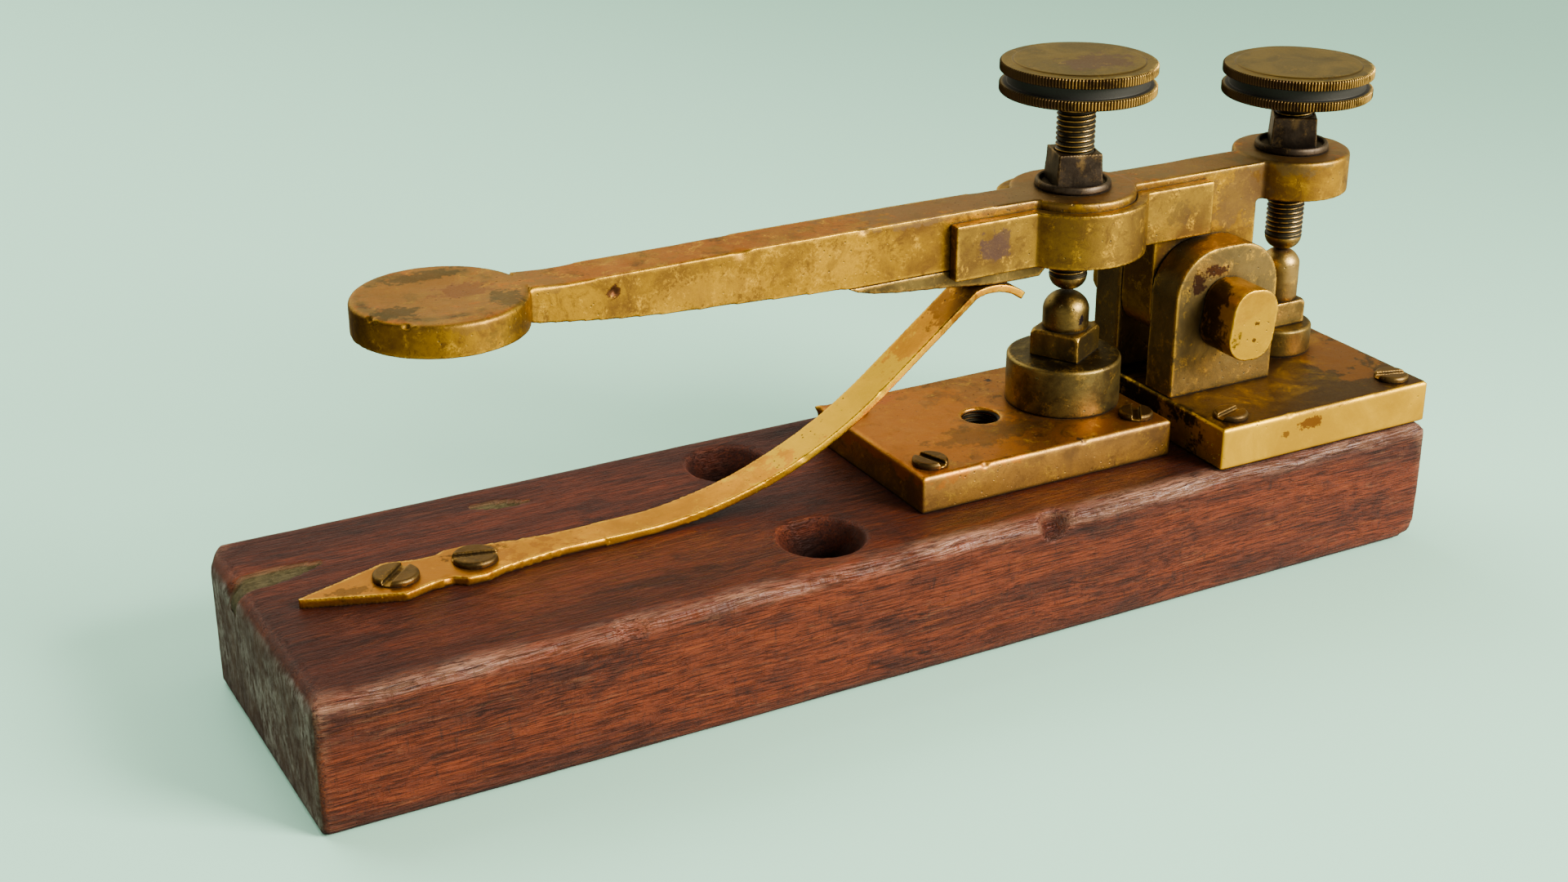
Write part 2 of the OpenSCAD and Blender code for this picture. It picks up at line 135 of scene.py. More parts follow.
def random_field(points, size, seed):
    """Smooth random values from -1 to 1 at points, on a lattice of this size (one number or one per axis)."""
    p = points / np.asarray(size, float) + 31.7 * (seed + 1)
    cell = np.floor(p)
    f = p - cell
    f = f * f * (3 - 2 * f)
    total = np.zeros(len(points))
    for corner in itertools.product((0, 1), repeat=3):
        h = np.sin((cell + corner) @ np.array([12.9898, 78.233, 37.719])) * 43758.5453
        weight = np.prod(np.where(corner, f, 1 - f), axis=1)
        total += weight * (2 * (h - np.floor(h)) - 1)
    return total


def roughen(obj, seed, *layers):
    """Moves every point along its normal by random fields, each layer (size, depth) in mm."""
    points, normals = points_of(obj), normals_of(obj)
    shift = np.zeros(len(points))
    for k, (size, depth) in enumerate(layers):
        shift += depth * random_field(points, size, seed + 7 * k)
    set_points(obj, points + normals * shift[:, None])


def push(points, centre, radius, move):
    """A soft dent: points within radius of centre move by up to move."""
    d = np.linalg.norm(points - np.array(centre, float), axis=1) / radius
    points += np.clip(1 - d * d, 0, 1)[:, None] ** 2 * np.array(move, float)


def settle(obj):
    """Applies the object's modifiers to a mesh of its own."""
    depsgraph = bpy.context.evaluated_depsgraph_get()
    mesh = bpy.data.meshes.new_from_object(obj.evaluated_get(depsgraph), depsgraph=depsgraph)
    obj.modifiers.clear()
    obj.data = mesh
    return obj


def shade_smooth(obj):
    obj.data.polygons.foreach_set("use_smooth", [True] * len(obj.data.polygons))


def remeshed(obj, voxel, rounds):
    """An even, closed mesh with softened edges. voxel is in mm."""
    remesh = obj.modifiers.new("even", "REMESH")
    remesh.mode = "VOXEL"
    remesh.voxel_size = voxel * MM
    remesh.use_smooth_shade = True
    smooth = obj.modifiers.new("soft", "SMOOTH")
    smooth.factor = 0.5
    smooth.iterations = rounds
    return settle(obj)


def worn_copy(nodes, voxel, rounds, keep_above=None):
    """One denser skin over CAD nodes, its edges rounded by wear. keep_above cuts off hidden shanks."""
    bm = bmesh.new()
    for node in nodes:
        bm.from_mesh(frame["nodes"][node].data)
    bmesh.ops.remove_doubles(bm, verts=bm.verts, dist=1e-6)
    if keep_above is not None:
        everything = bm.verts[:] + bm.edges[:] + bm.faces[:]
        cut = bmesh.ops.bisect_plane(
            bm, geom=everything, plane_co=(0, 0, keep_above * MM), plane_no=(0, 0, 1), clear_inner=True)
        rim = [e for e in cut["geom_cut"] if isinstance(e, bmesh.types.BMEdge)]
        bmesh.ops.holes_fill(bm, edges=rim)
    mesh = bpy.data.meshes.new(nodes[0])
    bm.to_mesh(mesh)
    bm.free()
    return remeshed(link(nodes[0] + "_worn", mesh), voxel, rounds)


def dress(obj, node, material, *others):
    """The piece stands for a CAD node, and for any others fixed to it: it rides with the node's body, takes
    the material, and hides those CAD nodes.
    """
    obj.data.materials.clear()
    obj.data.materials.append(material)
    shade_smooth(obj)
    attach(obj, BODY_OF[node])
    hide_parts(node, *others)


def rounded(profile, radius, steps):
    """The (radius, height) profile with each inner corner turned into a small arc."""
    out = [profile[0]]
    for before, here, after in zip(profile, profile[1:], profile[2:]):
        a, b, c = (np.array(q, float) for q in (before, here, after))
        to_a, to_c = a - b, c - b
        cut = min(radius, 0.45 * np.linalg.norm(to_a), 0.45 * np.linalg.norm(to_c))
        start, end = b + to_a / np.linalg.norm(to_a) * cut, b + to_c / np.linalg.norm(to_c) * cut
        for i in range(steps + 1):
            t = i / steps
            out.append(tuple((1 - t) ** 2 * start + 2 * t * (1 - t) * b + t * t * end))
    return out + [profile[-1]]


def divided(profile, span):
    """The profile with its long stretches divided into spans of about this length."""
    out = [profile[0]]
    for a, b in zip(profile, profile[1:]):
        count = max(1, math.ceil(math.dist(a, b) / span))
        out += [tuple(np.array(a) + (np.array(b) - np.array(a)) * i / count) for i in range(1, count + 1)]
    return out


def turned(name, profile, x, segments, closed=False):
    """A turned piece about the vertical line at x. profile is (radius, height); a closed one is a ring."""
    rows = np.array(profile, float)
    angles = np.arange(segments) * 2 * math.pi / segments
    vertices, rings = [], []
    for r, z in rows:
        if r < 1e-6 and not closed:
            rings.append([len(vertices)])
            vertices.append((x, 0, z))
            continue
        rings.append(list(range(len(vertices), len(vertices) + segments)))
        vertices += list(zip(x + r * np.cos(angles), r * np.sin(angles), [z] * segments))
    faces = []
    pairs = list(zip(rings, rings[1:])) + ([(rings[-1], rings[0])] if closed else [])
    for low, high in pairs:
        for i in range(segments):
            j = (i + 1) % segments
            if len(low) == 1:
                faces.append((low[0], high[j], high[i]))
            elif len(high) == 1:
                faces.append((low[i], low[j], high[0]))
            else:
                faces.append((low[i], low[j], high[j], high[i]))
    mesh = bpy.data.meshes.new(name)
    mesh.from_pydata([Vector(v) * MM for v in vertices], [], faces)
    mesh.update()
    return link(name, mesh)


def threaded_wall(x, z0, z1, segments, per_turn, radius_at):
    """A helical wall about the vertical line at x: vertices in metres, how high each is on the ridge, faces.

    radius_at(ridge, z) gives the radius, with ridge from 0 to 1. per_turn is the number of rows in a pitch.
    """
    rows = int((z1 - z0) / THREAD_PITCH * per_turn)
    vertices, ridges, faces = [], [], []
    for k in range(rows + 1):
        z = z0 + (z1 - z0) * k / rows
        for i in range(segments):
            a = 2 * math.pi * i / segments
            ridge = 0.5 + 0.5 * math.cos(2 * math.pi * (z / THREAD_PITCH - i / segments))
            r = radius_at(ridge, z)
            vertices.append(Vector((x + r * math.cos(a), r * math.sin(a), z)) * MM)
            ridges.append(ridge)
    for k in range(0, rows * segments, segments):
        for i in range(segments):
            j = (i + 1) % segments
            faces.append((k + i, k + j, k + segments + j, k + segments + i))
    return vertices, ridges, faces


# ---------------------------------------------------------------- materials

def rgb(code):
    """A linear colour from an sRGB code such as C3973D."""
    values = [int(code[i:i + 2], 16) / 255 for i in (0, 2, 4)]
    return tuple(v / 12.92 if v <= 0.04045 else ((v + 0.055) / 1.055) ** 2.4 for v in values) + (1,)


class Paint:
    """One material's nodes. Lengths are in mm, and patterns stay with the piece's own rest coordinates."""

    def __init__(self, name):
        self.material = bpy.data.materials.new(name)
        self.material.use_nodes = True
        self.tree = self.material.node_tree
        self.tree.nodes.clear()
        output = self.tree.nodes.new("ShaderNodeOutputMaterial")
        self.shader = self.tree.nodes.new("ShaderNodeBsdfPrincipled")
        self.tree.links.new(self.shader.outputs[0], output.inputs[0])
        self.place = self.vector("MULTIPLY", self.tree.nodes.new("ShaderNodeTexCoord").outputs["Object"],
                                 (1 / MM,) * 3)
        self.x, self.y, self.z = self.split(self.place)
        normal = self.tree.nodes.new("ShaderNodeNewGeometry").outputs["Normal"]
        self.normal_x, self.normal_y, self.normal_z = self.split(normal)

    def put(self, socket, value):
        if isinstance(value, bpy.types.NodeSocket):
            self.tree.links.new(value, socket)
        else:
            socket.default_value = value

    def vector(self, operation, a, b=(0, 0, 0)):
        node = self.tree.nodes.new("ShaderNodeVectorMath")
        node.operation = operation
        self.put(node.inputs[0], a)
        self.put(node.inputs[1], b)
        return node.outputs["Value" if operation in ("LENGTH", "DOT_PRODUCT") else "Vector"]

    def split(self, value):
        node = self.tree.nodes.new("ShaderNodeSeparateXYZ")
        self.put(node.inputs[0], value)
        return node.outputs

    def math(self, operation, a, b=0.0):
        node = self.tree.nodes.new("ShaderNodeMath")
        node.operation = operation
        self.put(node.inputs[0], a)
        self.put(node.inputs[1], b)
        return node.outputs[0]

    def times(self, *values):
        out = values[0]
        for value in values[1:]:
            out = self.math("MULTIPLY", out, value)
        return out

    def most(self, a, b):
        return self.math("MAXIMUM", a, b)

    def inverse(self, a):
        return self.math("SUBTRACT", 1.0, a)

    def step(self, value, low, high):
        """0 below low, 1 above high and smooth between; low may be above high."""
        node = self.tree.nodes.new("ShaderNodeMapRange")
        node.interpolation_type = "SMOOTHSTEP"
        self.put(node.inputs["Value"], value)
        if low <= high:
            spans = (low, high, 0, 1)
        else:
            spans = (high, low, 1, 0)
        for name, number in zip(("From Min", "From Max", "To Min", "To Max"), spans):
            node.inputs[name].default_value = number
        return node.outputs["Result"]

    def blend(self, amount, a, b):
        node = self.tree.nodes.new("ShaderNodeMix")
        node.data_type = "RGBA"
        self.put(node.inputs["Factor"], amount)
        self.put(node.inputs[6], a)
        self.put(node.inputs[7], b)
        return node.outputs[2]

    def over(self, colour, code, *amounts):
        """The colour with another one laid over it, by the product of the amounts."""
        return self.blend(self.times(*amounts), colour, rgb(code))

    def lerp(self, amount, a, b):
        node = self.tree.nodes.new("ShaderNodeMix")
        self.put(node.inputs[0], amount)
        self.put(node.inputs[2], a)
        self.put(node.inputs[3], b)
        return node.outputs[0]

    def stretched(self, size, seed):
        """Coordinates divided by a size, which may differ per axis."""
        size = (size,) * 3 if isinstance(size, (int, float)) else size
        scaled = self.vector("MULTIPLY", self.place, tuple(1 / s for s in size))
        return self.vector("ADD", scaled, (17.3 * seed + 5, 9.1 * seed, 4.7 * seed))

    def noise(self, size, seed, detail=4.0, roughness=0.55, warp=0.0):
        node = self.tree.nodes.new("ShaderNodeTexNoise")
        self.put(node.inputs["Vector"], self.stretched(size, seed))
        node.inputs["Scale"].default_value = 1.0
        node.inputs["Detail"].default_value = detail
        node.inputs["Roughness"].default_value = roughness
        node.inputs["Distortion"].default_value = warp
        return node.outputs[0]

    def cells(self, size, seed):
        """Distance to scattered points, for pits and specks."""
        node = self.tree.nodes.new("ShaderNodeTexVoronoi")
        self.put(node.inputs["Vector"], self.stretched(size, seed))
        node.inputs["Scale"].default_value = 1.0
        return node.outputs["Distance"]

    def nearness(self, reach, inside):
        node = self.tree.nodes.new("ShaderNodeAmbientOcclusion")
        node.inside = inside
        node.only_local = inside
        node.samples = 6
        node.inputs["Distance"].default_value = reach * MM
        return self.inverse(node.outputs["AO"])

    def edges(self, reach):
        """Near 1 on outer edges within reach."""
        return self.nearness(reach, True)

    def corners(self, reach):
        """Near 1 in inner corners and where pieces meet."""
        return self.nearness(reach, False)

    def blotch(self, centre, radius, grain, seed):
        """An uneven patch about a point. radius may be one number or one per axis."""
        radius = (radius,) * 3 if isinstance(radius, (int, float)) else radius
        offset = self.vector("SUBTRACT", self.place, centre)
        away = self.vector("LENGTH", self.vector("MULTIPLY", offset, tuple(1 / r for r in radius)))
        stray = self.math("SUBTRACT", self.noise(grain, seed, 7, 0.7), 0.5)
        return self.step(self.math("ADD", away, self.times(stray, 4.0)), 1.15, 0.85)

    def marked(self, colour, marks, seed):
        """The colour with marks over it, each (centre, radius, colour code, strength, grain)."""
        for k, (centre, radius, code, strength, grain) in enumerate(marks, seed):
            colour = self.over(colour, code, self.blotch(centre, radius, grain, k), strength)
        return colour

    def ring(self, centre, radius, width, seed):
        """A broken ring stain on a top face."""
        offset = self.vector("SUBTRACT", self.place, (centre[0], centre[1], 0.0))
        flat = self.vector("LENGTH", self.vector("MULTIPLY", offset, (1, 1, 0)))
        off = self.math("ABSOLUTE", self.math("SUBTRACT", flat, radius))
        stray = self.math("SUBTRACT", self.noise(1.2, seed, 6, 0.7), 0.5)
        off = self.math("ADD", off, self.times(stray, 3.0))
        broken = self.step(self.noise(5, seed + 1, 2), 0.44, 0.58)
        return self.times(self.step(off, width, 0.2 * width), broken)

    def attribute(self, name):
        node = self.tree.nodes.new("ShaderNodeAttribute")
        node.attribute_name = name
        return node.outputs["Fac"]

    def bump(self, height, depth, strength):
        """height from 0 to 1 stands for depth in mm."""
        node = self.tree.nodes.new("ShaderNodeBump")
        node.inputs["Strength"].default_value = strength
        node.inputs["Distance"].default_value = depth * MM
        self.put(node.inputs["Height"], height)
        self.put(self.shader.inputs["Normal"], node.outputs["Normal"])

    def finish(self, colour, roughness, metallic):
        self.put(self.shader.inputs["Base Color"], colour)
        self.put(self.shader.inputs["Roughness"], roughness)
        self.put(self.shader.inputs["Metallic"], metallic)
        return self.material


BRASS = {"dark": "6C4C22", "mid": "B08418", "bright": "FAC22A", "tarnish": "AE621C", "stain": "2E2416"}
GOLD = {"dark": "A87A18", "mid": "C89A10", "bright": "FFC820", "tarnish": "B8741F", "stain": "4A3010"}
OLIVE = {"dark": "504226", "mid": "856F39", "bright": "E8B548", "tarnish": "3E2E1A", "stain": "1E1A12"}
DARK = {"dark": "42331F", "mid": "6F5730", "bright": "C8963C", "tarnish": "62431F", "stain": "1C150D"}
BRONZE = {"dark": "2A231C", "mid": "564A3C", "bright": "9A7A46", "tarnish": "463426", "stain": "14100D"}

# What brass reflects at a glancing angle: without this its flat tops turn grey
EDGE_TINT = (1.0, 0.92, 0.72, 1)


def brass(name, seed, tones=BRASS, wear=1.0, top=0.7, corner_soil_and_shade=1.0, roughness=0.4, mottle=1.0, reach=0.8,
          marks=(), ring=None):
    """Aged brass: bright worn edges, orange tarnish on top faces, brown stains, pits, and dark soiling with
    painted shade in inner corners and where pieces meet.
    """
    paint = Paint(name)
    broad = paint.noise(12, seed, 6, 0.62, 0.6)
    cloud = paint.noise(2.6, seed + 1, 8, 0.75, 0.3)
    fine = paint.noise(0.35, seed + 2, 5, 0.75)
    up = paint.step(paint.normal_z, 0.8, 0.97)

    colour = paint.blend(paint.step(broad, 0.34, 0.62), rgb(tones["dark"]), rgb(tones["mid"]))
    dulled = paint.times(paint.step(paint.noise(5, seed + 3, 8, 0.75, 0.9), 0.5, 0.62), 0.6 * mottle)
    colour = paint.over(colour, tones["dark"], dulled)
    rusty = paint.times(up, paint.step(paint.noise(7, seed + 4, 7, 0.7, 0.8), 0.24, 0.54), top)
    colour = paint.over(colour, tones["tarnish"], rusty)
    clouded = paint.times(up, paint.step(paint.noise(4, seed + 5, 8, 0.75, 1.2), 0.52, 0.66), 0.7 * top)
    colour = paint.over(colour, tones["stain"], clouded)
    grain = paint.times(paint.step(paint.noise(0.7, seed + 8, 6, 0.8), 0.5, 0.68), 0.4 * mottle)
    colour = paint.over(colour, tones["dark"], grain)
    rubbed = paint.times(paint.step(cloud, 0.52, 0.64), paint.step(fine, 0.4, 0.6), 0.4 * mottle)
    colour = paint.over(colour, tones["bright"], rubbed)
    if ring:
        colour = paint.over(colour, "33301C", paint.ring(*ring), 0.85)
    colour = paint.marked(colour, marks, seed + 20)
    pits = paint.times(paint.step(paint.cells(1.1, seed + 6), 0.17, 0.07), paint.step(broad, 0.45, 0.6))
    colour = paint.over(colour, tones["stain"], pits, 0.8)
    chipped = paint.step(paint.noise(1.3, seed + 7, 6, 0.75), 0.4, 0.54)
    open_side = paint.step(paint.corners(1.6), 0.42, 0.24)
    worn = paint.times(paint.step(paint.edges(reach), 0.14, 0.4), chipped, open_side, wear)
    colour = paint.over(colour, tones["bright"], worn)
    # Painted shade, with dark soiling: the stain colour in inner corners and where pieces meet
    corner = paint.corners(2.6)
    soil_and_shade = paint.times(paint.step(corner, 0.22, 0.72), min(1, 0.88 * corner_soil_and_shade))
    colour = paint.over(colour, tones["stain"], soil_and_shade)
    dust = paint.times(paint.step(paint.corners(0.9), 0.42, 0.7), paint.step(fine, 0.36, 0.56), 0.5 * corner_soil_and_shade)
    colour = paint.over(colour, "3E3A36", dust)

    rough = paint.lerp(fine, roughness - 0.12, roughness + 0.14)
    rough = paint.lerp(paint.step(broad, 0.4, 0.6), paint.math("ADD", rough, 0.06), rough)
    rough = paint.lerp(worn, rough, roughness - 0.05)
    rough = paint.lerp(paint.most(soil_and_shade, pits), rough, 0.72)
    metallic = paint.lerp(paint.most(dust, paint.times(pits, 0.8)), 1.0, 0.25)
    height = paint.math("SUBTRACT", paint.times(fine, 0.45), paint.times(pits, 0.9))
    height = paint.math("ADD", height, paint.times(cloud, 0.7))
    paint.bump(height, 0.07, 0.8)
    paint.shader.inputs["Specular Tint"].default_value = EDGE_TINT
    return paint.finish(colour, rough, metallic)


def thread_metal(name, brightness=1.0):
    """Near-black thread with bright crests, from the crest attribute: worn and painted as a highlight. Below
    full brightness, painted shade darkens it, most in its corners.
    """
    paint = Paint(name)
    crest = paint.attribute("crest")
    patchy = paint.step(paint.noise(1.6, 3, 4, 0.6), 0.34, 0.56)
    # Painted highlight with wear: bright crests
    crest_wear_and_highlight = paint.times(paint.step(crest, 0.5, 0.92), patchy, brightness)
    colour = paint.blend(paint.noise(2.5, 1, 4), rgb("26231A"), rgb("4A4434"))
    colour = paint.over(colour, "CCA452", crest_wear_and_highlight)
    shade = paint.times(paint.most(paint.step(paint.corners(3.0), 0.5, 0.9), 0.7), 1 - brightness)
    colour = paint.over(colour, "0C0A08", shade)
    rough = paint.lerp(crest_wear_and_highlight, 0.55, 0.3)
    paint.bump(paint.noise(0.4, 2, 3), 0.02, 0.5)
    return paint.finish(colour, rough, 1.0)


def knob_metal(name, seed, x, marks=()):
    """Dark brass knob about x: teeth tips and edges worn bright, shown only towards the front as a painted
    highlight, black groove, painted shade with soiling in its corners.
    """
    paint = Paint(name)
    crest = paint.attribute("crest")
    groove = paint.attribute("groove")
    broad = paint.noise(7, seed, 6, 0.65, 0.8)
    cloud = paint.noise(2, seed + 1, 8, 0.75)
    fine = paint.noise(0.3, seed + 2, 4, 0.7)
    up = paint.step(paint.normal_z, 0.8, 0.97)
    # Painted highlight: this mask keeps the bright tips and worn edges to the knob's front, where the light
    # falls
    front = paint.vector("DOT_PRODUCT", paint.vector("SUBTRACT", paint.place, (x, 0, 0)), (0.3, -0.95, 0))
    near = paint.step(front, 3, 9.5)
    side = paint.blend(broad, rgb("33271A"), rgb("5A4426"))
    face = paint.blend(paint.step(broad, 0.3, 0.65), rgb("54441C"), rgb("7C6424"))
    colour = paint.blend(up, side, face)
    colour = paint.over(colour, "4A3A18", paint.step(cloud, 0.5, 0.62), 0.45)
    colour = paint.marked(colour, marks, seed + 20)
    # Worn teeth tips, brightened only on the front as a painted highlight
    tips = paint.times(crest, paint.step(paint.noise(4, seed + 3, 4, 0.7), 0.35, 0.6), near)
    colour = paint.over(colour, "F0C058", tips, 0.9)
    scuffed = paint.step(paint.noise(2.2, seed + 4, 7, 0.75), 0.42, 0.56)
    worn = paint.times(paint.step(paint.edges(0.6), 0.08, 0.3), up, scuffed, near)
    colour = paint.over(colour, "F2CE62", worn)
    flecks = paint.times(paint.step(cloud, 0.56, 0.62), paint.step(fine, 0.45, 0.55), up, 0.5)
    colour = paint.over(colour, "B8923C", flecks)
    colour = paint.over(colour, "2A2A28", groove)
    # Painted shade, with dark soiling, in the knob's corners
    soil_and_shade = paint.step(paint.corners(1.4), 0.45, 0.95)
    colour = paint.over(colour, "1C150C", soil_and_shade, 0.75)
    rough = paint.lerp(fine, 0.3, 0.5)
    rough = paint.lerp(paint.most(groove, soil_and_shade), rough, 0.6)
    metallic = paint.lerp(groove, 1.0, 0.5)
    height = paint.math("ADD", paint.times(fine, 0.5), paint.times(cloud, 0.7))
    paint.bump(height, 0.04, 0.6)
    paint.shader.inputs["Specular Tint"].default_value = EDGE_TINT
    return paint.finish(colour, rough, metallic)


def mahogany():
    """Worn varnished mahogany: long dark grain along X, stains, pale worn edges with a painted sheen along
    the near top edge, grey end grain, and painted shade on the top faces, around the pieces that stand on it
    and down the bench holes.
    """
    paint = Paint("mahogany")
    plain = paint.place
    sway = paint.times(paint.math("SUBTRACT", paint.noise((26, 13, 13), 11, 2), 0.5), 2.2)
    paint.place = paint.vector("ADD", plain, paint.vector("MULTIPLY", sway, (0, 1, 1)))
    flow = paint.noise((60, 9, 7), 1, 6, 0.62, 0.5)
    streak = paint.noise((13, 0.36, 0.36), 2, 6, 0.7, 0.1)
    pores = paint.noise((7, 0.16, 0.16), 3, 5, 0.6, 0.05)
    hairs = paint.noise((3.2, 0.09, 0.09), 13, 3, 0.6)
    patches = paint.noise((16, 5, 5), 5, 8, 0.72, 0.8)
    paint.place = plain
    fine = paint.noise(0.4, 4, 5, 0.75)
    scuffs = paint.noise((0.8, 5, 3), 6, 7, 0.75, 0.6)
    end = paint.step(paint.math("ABSOLUTE", paint.normal_x), 0.75, 0.95)
    side = paint.step(paint.math("ABSOLUTE", paint.normal_y), 0.6, 0.9)

    colour = paint.blend(paint.step(flow, 0.36, 0.66), rgb("471B0C"), rgb("742E10"))
    colour = paint.over(colour, "22100A", paint.step(streak, 0.48, 0.66), 0.5)
    colour = paint.over(colour, "864014", paint.step(streak, 0.47, 0.34), 0.45)
    colour = paint.over(colour, "200E0A", paint.step(patches, 0.5, 0.66), 0.6)
    stains = paint.times(paint.step(scuffs, 0.54, 0.68), side, 0.55)
    colour = paint.over(colour, "20140F", stains)
    colour = paint.over(colour, "140906", paint.step(pores, 0.54, 0.66), 0.8)
    colour = paint.over(colour, "140906", paint.step(hairs, 0.54, 0.66), 0.7)
    dry = paint.times(paint.step(paint.noise((7, 1.4, 1.4), 7, 8, 0.75, 0.5), 0.56, 0.68), side, 0.3)
    colour = paint.over(colour, "85553A", dry)
    broken = paint.step(paint.noise((3.4, 0.5, 0.5), 8, 7, 0.78), 0.4, 0.54)
    high = paint.lerp(paint.step(paint.z, 7, 13), 0.25, 1.0)
    base_low, base_high = box_mm("wooden_base")
    # Along the near top edge, a pale band of worn varnish with a painted sheen
    across = paint.vector("SUBTRACT", paint.place, (0, base_low[1] + 0.2, base_high[2] - 0.1))
    to_edge = paint.vector("LENGTH", paint.vector("MULTIPLY", across, (0, 1, 1)))
    patchy = paint.lerp(paint.step(paint.noise((16, 4, 4), 15, 4), 0.4, 0.62), 0.2, 0.95)
    band = paint.times(paint.step(to_edge, 3.0, 1.0), patchy)
    worn = paint.times(paint.most(paint.times(paint.step(paint.edges(3.0), 0.16, 0.4), high), band), broken)
    colour = paint.over(colour, "B27C5E", worn, 0.58)
    end_grain = paint.step(paint.noise((3, 3, 6), 14, 6, 0.7), 0.35, 0.65)
    cut_end = paint.blend(end_grain, rgb("40261A"), rgb("5A4032"))
    colour = paint.blend(paint.times(end, 0.9), colour, cut_end)
    grey = paint.times(end, paint.step(paint.noise((3, 1.1, 2.2), 9, 9, 0.8), 0.4, 0.64), 0.9)
    grey = paint.times(grey, paint.lerp(paint.step(paint.noise(9, 16, 4), 0.42, 0.6), 0.3, 0.85))
    grey = paint.times(grey, paint.lerp(paint.step(paint.normal_x, 0.5, -0.5), 0.35, 1.0))
    colour = paint.over(colour, "AC9C92", grey)
    up = paint.step(paint.normal_z, 0.85, 0.98)
    # Painted shade: the top faces are darkened
    colour = paint.over(colour, "1C0A05", up, 0.4)
    putty = paint.attribute("putty")
    rim = paint.times(paint.step(putty, 0.03, 0.3), paint.step(putty, 0.8, 0.5))
    filler = paint.blend(paint.step(paint.noise(1.5, 12, 7, 0.75), 0.4, 0.6), rgb("40381F"), rgb("5A4F32"))
    colour = paint.blend(putty, colour, filler)
    colour = paint.over(colour, "7A583C", rim, 0.4)
    # Painted shade, with some soiling: the wood darkens where the plates and other pieces stand on it, and
    # down the bench holes
    soil_and_shade = paint.times(paint.step(paint.corners(6.0), 0.25, 0.75), 0.9)
    bore_shade = paint.attribute("bore_shade")
    colour = paint.over(colour, "100705", paint.most(soil_and_shade, bore_shade), 0.94)

    gloss = paint.lerp(up, 0.2, 0.1)
    rough = paint.lerp(fine, 0.32, 0.52)
    rough = paint.lerp(band, rough, 0.34)
    rough = paint.lerp(paint.most(paint.most(end, putty), bore_shade), rough, 0.62)
    height = paint.math("SUBTRACT", paint.times(fine, 0.25), paint.times(paint.step(pores, 0.5, 0.66), 0.9))
    height = paint.math("ADD", height, paint.times(streak, 0.6))
    height = paint.math("SUBTRACT", height, paint.times(paint.step(hairs, 0.52, 0.68), 0.4))
    checks = paint.step(paint.noise((0.35, 5, 2.4), 10, 5, 0.65), 0.56, 0.66)
    height = paint.math("SUBTRACT", height, paint.times(checks, side, 0.3))
    paint.bump(height, 0.16, 0.85)
    paint.put(paint.shader.inputs["Specular IOR Level"], paint.lerp(bore_shade, paint.lerp(band, gloss, 0.5), 0.05))
    return paint.finish(colour, rough, 0.0)


# ---------------------------------------------------------------- wooden base

def make_base(material):
    low, high = box_mm("wooden_base")
    obj = worn_copy(["wooden_base"], 0.55, 1)
    roughen(obj, 1, (26, 0.06), ((12, 5, 5), 0.03), ((4, 0.9, 0.9), 0.03))
    p = points_of(obj)
    top, near, left = high[2], low[1], low[0]

    # Wear eats unevenly into the near top edge
    reach = 3.4
    close = np.clip(1 - np.hypot(p[:, 1] - near, p[:, 2] - top) / reach, 0, 1)
    uneven = 0.22 * random_field(p, (12, 40, 40), 5) + 0.12 * random_field(p, (3, 2, 2), 6)
    bite = close * np.clip(uneven, 0, 1)
    p[:, 1] += bite
    p[:, 2] -= bite * 0.8

    # The far left corner is broken off along an upright plane
    corner = np.array([-86.9, 24.1])
    outward = np.array([-6.1, 5.0]) / math.hypot(6.1, 5.0)
    beyond = np.clip((p[:, :2] - corner) @ outward + 0.1 * random_field(p, 2, 8), 0, None)
    p[:, :2] -= beyond[:, None] * outward

    # Two filled gouges in the top, one of them open at the left end
    putty = np.zeros(len(p))
    for x0, x1, y_mid, half, slant in ((left - 6, -76.5, 10.4, 2.3, 0.12), (-53.2, -44.6, 17.2, 1.25, -0.25)):
        along = (p[:, 0] - (x0 + x1) / 2) / ((x1 - x0) / 2)
        width = half * np.clip(1 - np.abs(along) ** 2.2, 0, 1) + 0.01
        middle = y_mid + slant * (p[:, 0] - (x0 + x1) / 2) + 0.25 * random_field(p, (3, 50, 50), 9)
        inside = smooth_step(np.abs(p[:, 1] - middle) / width, 1.1, 0.8) * (p[:, 2] > top - 3.2)
        inside *= np.abs(along) < 1
        p[:, 2] -= inside * 0.6
        putty = np.maximum(putty, inside)

    # The open gouge leaves a notch in the end face
    notch = np.clip(1 - np.abs(p[:, 1] - 12.0) / 1.3, 0, 1) * smooth_step(p[:, 0], left + 3, left + 0.6)
    p[:, 0] += notch * smooth_step(p[:, 2], top - 5, top - 1.5) * 0.9

    # Knocks in the near edge
    push(p, (19.3, near, 18.2), 3.0, (0.2, 1.6, -1.1))
    push(p, (22.4, near + 0.5, 18.8), 1.6, (0.1, -0.35, 0.35))
    push(p, (-47, near, 18.8), 3, (0, 0.5, -0.3))
    p = np.clip(p, low, high)
    set_points(obj, p)
    set_attribute(obj, "putty", putty)

    # Painted shade: the bench holes darken down their countersinks and are darkest inside the shafts
    holes = MOUNTS["bench_screw_holes"]
    hole_x, spacing = holes["pos_m"][0] / MM, holes["dims"]["spacing_y_mm"]
    depth = top - p[:, 2]
    bore_shade = np.zeros(len(p))
    for y in (-spacing / 2, spacing / 2):
        away = np.hypot(p[:, 0] - hole_x, p[:, 1] - y)
        cone = (0.55 * smooth_step(depth, 0.1, 0.9) + 0.38 * smooth_step(depth, 0.8, 3.8)) * (away < 7)
        shaft = smooth_step(away, 4.0, 3.3) * (depth > 1)
        bore_shade = np.maximum(bore_shade, np.maximum(cone, shaft))
    set_attribute(obj, "bore_shade", bore_shade)
    dress(obj, "wooden_base", material)


